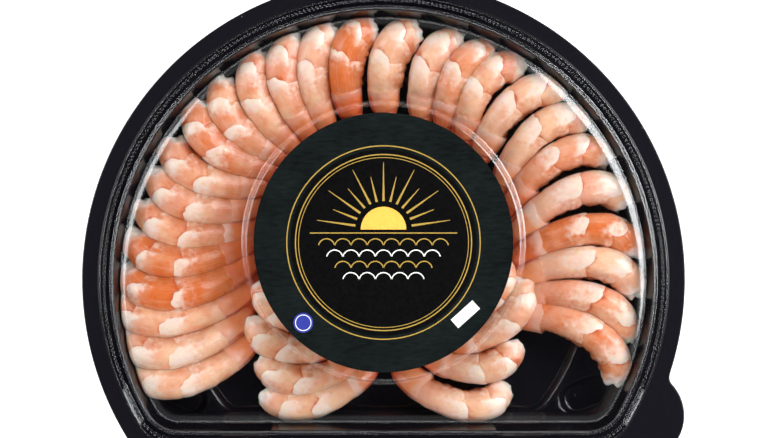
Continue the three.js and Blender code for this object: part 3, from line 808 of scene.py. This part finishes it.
def makeShrimp(index, row, side, lay, look):
    spine = Spine(row, side, lay)
    draws = random.Random(shrimp["seed"] + index)
    seed = Vector([draws.uniform(-900, 900) for _ in range(3)])
    joint = shrimp["ringJoint"] + draws.uniform(*shrimp["jointPlay"])
    segment = shrimp["segment"] * draws.uniform(*shrimp["segmentPlay"])
    rim = draws.uniform(*shrimp["paleRim"])
    # the shrimp on the right lie more openly, with dark gaps under their bellies
    bellyIn = shrimp["bellyIn"]
    if index + 1 >= shrimp["openFrom"]:
        bellyIn += shrimp["bellyOpen"]
    elif index + 1 >= shrimp["shutFrom"]:
        bellyIn += shrimp["bellyShut"]
    sides, ringCount = shrimp["sides"], shrimp["rings"]
    start = envelope[0][0]
    loops, maps, tints = [], [], []
    closing = [(1.0, 1.0), (0.999, 0.8), (0.994, 0.5), (0.99, 0.2)]
    places = [(start + (1 - start) * i / ringCount, 1.0) for i in range(ringCount)] + closing
    for t, shrink in places:
        middle = spine.at(t)
        heading, back, flank = spine.axes(t)
        deep, wide = envelopeAt(t)
        ragged = smoothStep(shrimp["raggedFrom"], 1.0, t)
        tipRound = sqrt(smoothStep(start - 0.001, start + 0.05, t)) if t < start + 0.05 else 1
        bare = smoothStep(joint - 0.006, joint + 0.012, t)
        shellLip = shrimp["shellLip"] * smoothStep(-0.1, 0.05, t) * (1 - bare)
        loop, ringMap, ringTint = [], [], []
        for k in range(sides):
            a = 2 * pi * k / sides
            cosine, sine = cos(a), sin(a)
            angle = degrees(acos(cosine))
            aim = back * cosine + flank * sine
            probe = middle + aim * 7 + seed
            along = (t - joint) / segment
            for size, strength in shrimp["borderBends"]:
                along += strength * noise.noise(probe / size)
            belly = smoothStep(*shrimp["bellyTurn"], angle) * bare
            fine = noise.noise(probe / shrimp["fineMm"])
            notch = abs(noise.noise(probe / shrimp["notchMm"])) + shrimp["fineNotch"] * abs(fine)
            lump = shrimp["lump"] * noise.noise(probe / shrimp["lumpMm"]) + shrimp["fineLump"] * fine
            lump += belly * (shrimp["bellyJag"] * notch - bellyIn) + shrimp["ragged"] * ragged * fine
            grow = 1 + segmentRelief(along, angle)
            up = cosine * deep * look["size"] * shrimp["depth"] / 2 * grow
            over = sine * wide * look["size"] * shrimp["width"] / 2 * grow
            point = middle + (back * up + flank * over + aim * (lump + shellLip)) * shrink * tipRound
            frayed = noise.noise(probe / shrimp["frayMm"] + Vector((40, 0, 0)))
            point += heading * ragged * (shrimp["fray"] * frayed * shrink - shrimp["fraySink"])
            loop.append(press(point))
            ringMap.append(Vector((along, cosine, sine)))
            edge = t + 0.06 * noise.noise(probe / shrimp["whiteMm"])
            whitened = shrimp["white"] * smoothStep(*shrimp["whiteFrom"], edge)
            ringTint.append(Vector((look["warm"], rim, whitened)))
        loops.append(loop)
        maps.append(ringMap)
        tints.append(ringTint)
    bm = bmesh.new()
    mapLayer = bm.verts.layers.float_vector.new("fleshMap")
    tintLayer = bm.verts.layers.float_vector.new("fleshTint")
    rings = extrudeLoops(bm, loops)
    for ring, ringMap, ringTint in zip(rings, maps, tints):
        for vert, mapped, tinted in zip(ring, ringMap, ringTint):
            vert[mapLayer] = mapped
            vert[tintLayer] = tinted
    capRing(bm, rings[0])
    capRing(bm, rings[-1])
    bmesh.ops.recalc_face_normals(bm, faces=bm.faces)
    addBlades(bm, spine, look, mapLayer, tintLayer)
    name = f"shrimp_{index + 1:02d}"
    finishPiece(bm, name + "_flesh", [fleshMaterial], [name])


# how the shrimp lie, in degrees and mm: those of the ring, and each layer of the heaps beside the cup
ringLay = {"tilt": 36, "tailHeight": 7.5, "headHeight": 10.5}
heapLays = [{"tilt": 28, "tailHeight": 6.5 + 1.5 * i, "headHeight": 7.5 + 1.8 * i} for i in range(4)]


def makeShrimps():
    draw = makeRandom(34)
    order = [(row, 1, ringLay) for row in ringRows]
    order += [(row, 1, lay) for row, lay in zip(leftRows, heapLays)]
    order += [(row, -1, lay) for row, lay in zip(rightRows, heapLays)]
    for index, (row, side, lay) in enumerate(order):
        size = shrimp["sizes"][0] + shrimp["sizes"][1] * next(draw)
        tilt = radians(lay["tilt"] + shrimp["tiltSpan"] * (next(draw) - 0.5))
        look = {"size": size, "warm": warmth[index]}
        makeShrimp(index, row, side, {**lay, "tilt": tilt}, look)


makeShrimps()
print("shrimp made")

# ---- sauce cup and sauce

cup = {
    "radius": 42, "foot": 37, "height": 24, "wall": 0.8, "z": 1.1, "spinSteps": 96,
    "lipIn": 1.5, "lipOut": 3, "lipRadius": 0.4, "lipTrim": 0.45,  # the rolled lip, about the wall's top
    "sauceLevel": 19, "sauceGap": 0.3, "ripple": 0.25, "unevenMm": 7, "uneven": 0.35,
}


def spinProfile(bm, profile):
    # profile holds (radius, z) from the axis out and back to the axis
    verts = [bm.verts.new((r, 0, z)) for r, z in profile]
    edges = [bm.edges.new(pair) for pair in zip(verts, verts[1:])]
    bmesh.ops.spin(bm, geom=verts + edges, axis=(0, 0, 1), cent=(0, 0, 0), angle=2 * pi,
                   steps=cup["spinSteps"], use_merge=True)
    bmesh.ops.remove_doubles(bm, verts=bm.verts, dist=1e-4)
    bmesh.ops.recalc_face_normals(bm, faces=bm.faces)
    bmesh.ops.translate(bm, vec=(0, dShape["ringY"], cup["z"]), verts=bm.verts)


def makeCup():
    mouth, foot, top, thick = cup["radius"] - cup["lipIn"], cup["foot"], cup["height"], cup["wall"]
    lip = cup["lipRadius"]
    lipRound = [(mouth + cup["lipOut"] + lip * sin(a) - cup["lipTrim"], top - lip + lip * cos(a))
                for a in (pi * k / 6 for k in range(6, -1, -1))]
    bm = bmesh.new()
    spinProfile(bm, [(0, 0.5), (foot - 4, 0.5), (foot - 3, 0), (foot - 0.8, 0), (foot, 0.8),
                     (mouth, top - thick), *lipRound, (mouth - thick, top),
                     (foot - thick, thick + 0.6), (foot - thick - 1, thick), (0, thick + 0.4)])
    finishPiece(bm, "sauce_cup_moulding", [whiteCup], ["sauce_cup"])


def makeSauce():
    foot = cup["foot"] - cup["wall"] - cup["sauceGap"]
    slope = (cup["radius"] - cup["lipIn"] - cup["foot"]) / cup["height"]
    level = cup["sauceLevel"]
    reach = foot + slope * level
    steps = [(r / 24 * (reach - 0.8), level - 0.7 + cup["ripple"] * cos(r / 24 * 9))
             for r in range(24, -1, -1)]
    bm = bmesh.new()
    spinProfile(bm, [(0, 1.2), (foot, 1.2), (reach, level), *steps])
    for vert in bm.verts:
        if vert.co.z > cup["z"] + level - 2:
            vert.co.z += cup["uneven"] * noise.noise(vert.co / cup["unevenMm"]) - 0.2
    finishPiece(bm, "cocktail_sauce_fill", [redSauce], ["cocktail_sauce"])


makeCup()
makeSauce()
print("cup and sauce made")

# ---- label: a sunrise over waves, in fields of colour that lie in thin layers

label = {
    "radius": 59.9, "low": 42.62, "top": 42.94, "layer": 0.015, "panel": 43,
    "circles": [(1.6, 0.5), (-2.4, 0.5), (-3.8, 0.3)],  # past the panel's edge, and width
    "sunRadius": 10.5, "sunY": 6, "horizonHalf": 34, "horizonDrop": 1.6, "line": 0.5,
    "rays": 13, "rayTurns": (8, 164), "rayGap": 2.6, "rayReach": (31, 25), "rayHalf": (0.55, 0.12),
    "waveRows": 4, "waves": 8, "wavePitch": 7.5, "waveDrop": 8, "waveStep": 5.2, "waveTurns": (12, 168),
    "dotPlace": (-37, -37), "dotRadius": 4.6, "dotRing": (3.6, 0.35),
    "block": [(34.5, -39.5), (44.5, -30.5), (41, -26.6), (31, -35.6)],
}
# the label's materials, by their place in its list
blackPart, goldPart, yellowPart, whitePart, bluePart = 1, 2, 3, 4, 5


def layField(bm, outline, layer, material):
    # one flat field of print: a single face lying just over the label's top
    z = label["top"] + label["layer"] * layer
    verts = [bm.verts.new((x, y + dShape["ringY"], z)) for x, y in outline]
    face = bm.faces.new(verts)
    face.normal_update()
    if face.normal.z < 0:
        face.normal_flip()
    face.material_index = material


def layStroke(bm, line, width, layer, material, closed=False):
    # a printed line of even width along a row of points
    count = len(line)
    left, right = [], []
    for i, (x, y) in enumerate(line):
        before = line[i - 1] if closed or i else line[i]
        after = line[(i + 1) % count] if closed or i < count - 1 else line[i]
        way = Vector((after[0] - before[0], after[1] - before[1])).normalized()
        left.append((x - way.y * width / 2, y + way.x * width / 2))
        right.append((x + way.y * width / 2, y - way.x * width / 2))
    for i in range(count if closed else count - 1):
        k = (i + 1) % count
        layField(bm, [left[i], left[k], right[k], right[i]], layer, material)


def arcPoints(radius, start, end, steps, x=0, y=0):
    return [(x + radius * cos(a), y + radius * sin(a))
            for a in (radians(start + (end - start) * i / steps) for i in range(steps + 1))]


def makeLabel():
    radius, low, top, panel = (label[k] for k in ("radius", "low", "top", "panel"))
    bm = bmesh.new()
    disc = bmesh.ops.create_cone(bm, cap_ends=True, segments=160, radius1=radius, radius2=radius,
                                 depth=top - low)
    bmesh.ops.translate(bm, vec=(0, dShape["ringY"], (top + low) / 2), verts=disc["verts"])
    layField(bm, arcPoints(panel, 0, 360, 120)[:-1], 1, blackPart)
    for past, width in label["circles"]:
        layStroke(bm, arcPoints(panel + past, 0, 360, 120)[:-1], width, 2, goldPart, closed=True)
    sunY, sun, line = label["sunY"], label["sunRadius"], label["line"]
    layField(bm, arcPoints(sun, 0, 180, 40, y=sunY), 2, yellowPart)
    firstTurn, fullTurn = label["rayTurns"]
    root, tip = label["rayHalf"]
    for i in range(label["rays"]):
        a = radians(firstTurn + fullTurn * i / (label["rays"] - 1))
        aim, turn = Vector((cos(a), sin(a))), Vector((-sin(a), cos(a)))
        near, far = aim * (sun + label["rayGap"]), aim * label["rayReach"][i % 2]
        corners = near - turn * root, near + turn * root, far + turn * tip, far - turn * tip
        layField(bm, [(p.x, p.y + sunY) for p in corners], 2, goldPart)
    half, horizonY = label["horizonHalf"], sunY - label["horizonDrop"]
    layStroke(bm, [(-half, horizonY), (half, horizonY)], line, 2, goldPart)
    pitch = label["wavePitch"]
    for row in range(label["waveRows"]):
        y = sunY - label["waveDrop"] - row * label["waveStep"]
        count = label["waves"] - row
        for k in range(count):
            wave = arcPoints(pitch / 2, *label["waveTurns"], 14, (k - (count - 1) / 2) * pitch, y)
            layStroke(bm, wave, line, 2, whitePart if row % 2 else goldPart)
    layField(bm, arcPoints(label["dotRadius"], 0, 360, 40, *label["dotPlace"])[:-1], 1, bluePart)
    ringRadius, ringWidth = label["dotRing"]
    dotRing = arcPoints(ringRadius, 0, 360, 40, *label["dotPlace"])[:-1]
    layStroke(bm, dotRing, ringWidth, 2, whitePart, closed=True)
    layField(bm, label["block"], 1, whitePart)
    finishPiece(bm, "label_print", [slatePrint, blackPrint, goldPrint, yellowPrint, whitePrint, bluePrint],
                ["label"], smooth=False)


makeLabel()
print("label made")

# ---- floor, light and camera

stage = {
    "floor": "#F4F4F4", "floorSize": 6.0, "distance": 2.4, "frameWidth": 0.3616,
    "aimX": 0.003, "aimY": 0.00035, "aimZ": 0.03, "lampAimZ": 0.02, "sensor": 36, "clipEnd": 20,
    "glow": 0.5,  # the floor's own light, as on a light table
    # soft light from all round: bright at the horizon, even above it and dark overhead
    "horizon": 3.2, "dome": 0.24, "horizonEnd": (2.5, 9), "domeEnd": (48, 64),
}

lamps = [
    # name, bearing, elevation, roll, distance, width, height, watts, whether gloss mirrors it; the fills
    # only light the food, so that the lid's shoulder and straight side stay free of their images
    ("leftSoftbox", 166, 36, -36, 1.6, 1.3, 0.52, 12, True),
    ("rightSoftbox", 20, 35, 36, 1.6, 1.5, 1.05, 40, True),
    ("backFill", 96, 60, 0, 1.6, 1.33, 0.4, 7.5, False),
    ("frontFill", 262, 60, 0, 1.6, 1.33, 0.4, 15, False),
]


def makeStage():
    floorMaterial, add, place = newMaterial("palePaintedFloor")
    grain = add("TexNoise", {"Scale": 300.0, "Detail": 2.0}, {"Vector": place})
    rough = add("MapRange", {3: 0.75, 4: 0.9}, {0: grain})
    shader = add("BsdfPrincipled",
                 {"Base Color": hexColour(stage["floor"]), "Specular IOR Level": 0.1,
                  "Emission Color": (1, 1, 1, 1), "Emission Strength": stage["glow"]}, {"Roughness": rough})
    add("OutputMaterial", None, {"Surface": shader})
    bm = bmesh.new()
    bmesh.ops.create_grid(bm, x_segments=1, y_segments=1, size=stage["floorSize"] / 2)
    mesh = bpy.data.meshes.new("floor")
    bm.to_mesh(mesh)
    bm.free()
    mesh.materials.append(floorMaterial)
    floor = addToScene("floor", mesh)

    aim = Vector((0, 0, stage["lampAimZ"]))
    for name, bearing, elevation, roll, distance, width, height, watts, mirrored in lamps:
        light = bpy.data.lights.new(name, "AREA")
        light.shape, light.size, light.size_y = "RECTANGLE", width, height
        light.energy = watts
        lamp = addToScene(name, light)
        lamp.visible_glossy = mirrored
        a, e = radians(bearing), radians(elevation)
        away = Vector((cos(a) * cos(e), sin(a) * cos(e), sin(e)))
        lamp.location = aim + away * distance
        turned = away.to_track_quat("Z", "Y") @ Quaternion((0, 0, 1), radians(roll))
        lamp.rotation_euler = turned.to_euler()

    world = bpy.data.worlds.new("studio")
    world.use_nodes = True
    world.node_tree.nodes.clear()
    add = partial(addNode, world)
    aimed = add("TexCoord").outputs["Generated"]
    skyward = add("SeparateXYZ", None, {0: aimed}).outputs["Z"]
    horizonEnd, domeEnd = ([sin(radians(edge)) for edge in stage[name]]
                           for name in ("horizonEnd", "domeEnd"))
    low = add("MapRange",
              {**smoothRange, 1: horizonEnd[0], 2: horizonEnd[1], 3: stage["horizon"], 4: stage["dome"]},
              {0: skyward})
    fall = add("MapRange", {**smoothRange, 1: domeEnd[0], 2: domeEnd[1], 3: 1.0, 4: 0.0}, {0: skyward})
    band = add("Math", multiply, {0: low, 1: fall})
    sky = add("Background", {"Color": (1, 1, 1, 1)}, {"Strength": band})
    add("OutputWorld", None, {"Surface": sky})
    bpy.context.scene.world = world
    bpy.context.scene.view_settings.view_transform = "Standard"


def makeCamera():
    lens = bpy.data.cameras.new("camera")
    lens.sensor_width = stage["sensor"]
    lens.lens = stage["sensor"] * stage["distance"] / stage["frameWidth"]
    lens.clip_end = stage["clipEnd"]
    camera = addToScene("camera", lens)
    camera.location = (stage["aimX"], stage["aimY"], stage["aimZ"] + stage["distance"])
    bpy.context.scene.camera = camera


makeStage()
makeCamera()
print("stage made")
